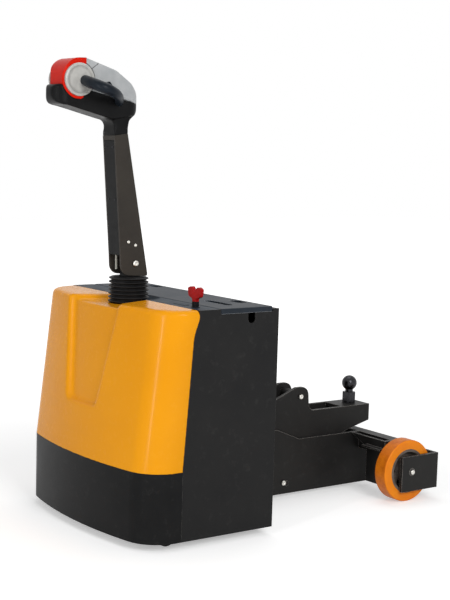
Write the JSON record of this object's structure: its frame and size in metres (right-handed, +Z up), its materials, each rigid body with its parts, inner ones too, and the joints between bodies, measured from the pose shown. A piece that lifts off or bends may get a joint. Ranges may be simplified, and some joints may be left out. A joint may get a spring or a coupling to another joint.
{
  "type": "walk-behind electric tow tractor",
  "caption": "Pedestrian-operated electric tow tractor with a tall tiller, a raked moulded front cover, and a low hitch frame with tow ball over wheels at the back.",
  "frame": {"origin": "centre of the overall box, at floor level", "axes": "+X to the right as seen from the tiller end, +Y from the tiller towards the tow ball, +Z up"},
  "size_m": [0.706, 1.281, 1.353],
  "materials": {
    "steel_black": "satin powder coat",
    "cover_yellow": "moulded, light grain",
    "plastic_black": "grained",
    "rubber_black": "moulded rubber",
    "cable_grey": "smooth jacket",
    "handle_black": "soft grained",
    "head_grey": "grained",
    "button_red": "smooth",
    "key_red": "smooth",
    "tyre_orange": "cast polyurethane",
    "tyre_drive": "solid rubber",
    "hub_iron": "painted casting",
    "steel_zinc": "zinc plated",
    "ball_black": "blackened forging",
    "caster_black": "solid polyurethane",
    "motor_dark": "satin",
    "battery_case": "plain case"
  },
  "bodies": {
    "chassis": {"side_panel_right": "steel_black", "side_panel_left": "steel_black", "rear_panel": "steel_black", "bulkhead": "steel_black", "battery_tray": "steel_black", "front_skirt": "steel_black", "drive_mount": "steel_black", "frame_plate_right": "steel_black", "frame_plate_left": "steel_black", "rear_beam": "steel_black", "wheel_bracket_right": "steel_black", "wheel_bracket_left": "steel_black", "hitch_frame": "steel_black", "caster_shelf_right": "steel_black", "caster_shelf_left": "steel_black", "front_cover": "cover_yellow", "top_deck": "plastic_black", "battery_indicator": "plastic_black", "bellows": "rubber_black", "emergency_key": "key_red", "rear_axle_right": "steel_zinc", "rear_axle_left": "steel_zinc", "hitch_pin": "steel_zinc", "tow_ball": "ball_black", "battery": "battery_case"},
    "drive_unit": {"drive_gearbox": "hub_iron", "drive_motor": "motor_dark", "steering_column": "steel_black"},
    "drive_wheel": {"drive_tyre": "tyre_drive", "drive_hub": "hub_iron"},
    "tiller": {"tiller_arm": "steel_black", "tiller_front_plate": "steel_black", "tiller_pin": "steel_zinc", "tiller_cables": "cable_grey", "head_casing": "plastic_black", "head_cover": "head_grey", "belly_button": "button_red", "knob_right": "head_grey", "knob_left": "head_grey", "handle_right": "handle_black", "handle_left": "handle_black", "rocker": "plastic_black"},
    "rear_wheel_right": {"rear_tyre_right": "tyre_orange", "rear_hub_right": "hub_iron"},
    "rear_wheel_left": {"rear_tyre_left": "tyre_orange", "rear_hub_left": "hub_iron"},
    "caster_right": {"caster_fork_right": "steel_zinc"},
    "caster_left": {"caster_fork_left": "steel_zinc"},
    "caster_roller_right": {"caster_wheel_right": "caster_black"},
    "caster_roller_left": {"caster_wheel_left": "caster_black"},
    "lid": {"battery_lid": "plastic_black"}
  },
  "joints": [
    {"name": "steering", "type": "hinge", "parent": "chassis", "child": "drive_unit", "pos_m": [0, -0.3675, 0.3], "axis": [0, 0, 1], "range_deg": [-90, 90]},
    {"name": "drive_spin", "type": "hinge", "parent": "drive_unit", "child": "drive_wheel", "pos_m": [0, -0.3675, 0.115], "axis": [1, 0, 0], "continuous": true},
    {"name": "tiller_tilt", "type": "hinge", "parent": "drive_unit", "child": "tiller", "pos_m": [0, -0.3675, 0.772], "axis": [1, 0, 0], "range_deg": [0, 75], "stiffness_Nm_per_rad": 35, "springref_deg": -34.38},
    {"name": "rear_spin_right", "type": "hinge", "parent": "chassis", "child": "rear_wheel_right", "pos_m": [0.256, 0.5265, 0.1], "axis": [1, 0, 0], "continuous": true},
    {"name": "caster_swivel_right", "type": "hinge", "parent": "chassis", "child": "caster_right", "pos_m": [0.288, -0.3875, 0.08], "axis": [0, 0, 1], "continuous": true},
    {"name": "caster_spin_right", "type": "hinge", "parent": "caster_right", "child": "caster_roller_right", "pos_m": [0.288, -0.4075, 0.03], "axis": [1, 0, 0], "continuous": true},
    {"name": "rear_spin_left", "type": "hinge", "parent": "chassis", "child": "rear_wheel_left", "pos_m": [-0.256, 0.5265, 0.1], "axis": [1, 0, 0], "continuous": true},
    {"name": "caster_swivel_left", "type": "hinge", "parent": "chassis", "child": "caster_left", "pos_m": [-0.288, -0.3875, 0.08], "axis": [0, 0, 1], "continuous": true},
    {"name": "caster_spin_left", "type": "hinge", "parent": "caster_left", "child": "caster_roller_left", "pos_m": [-0.288, -0.4075, 0.03], "axis": [1, 0, 0], "continuous": true},
    {"name": "lid_lift", "type": "slide", "parent": "chassis", "child": "lid", "axis": [0, 0, 1], "range_m": [0, 0.2]}
  ]
}
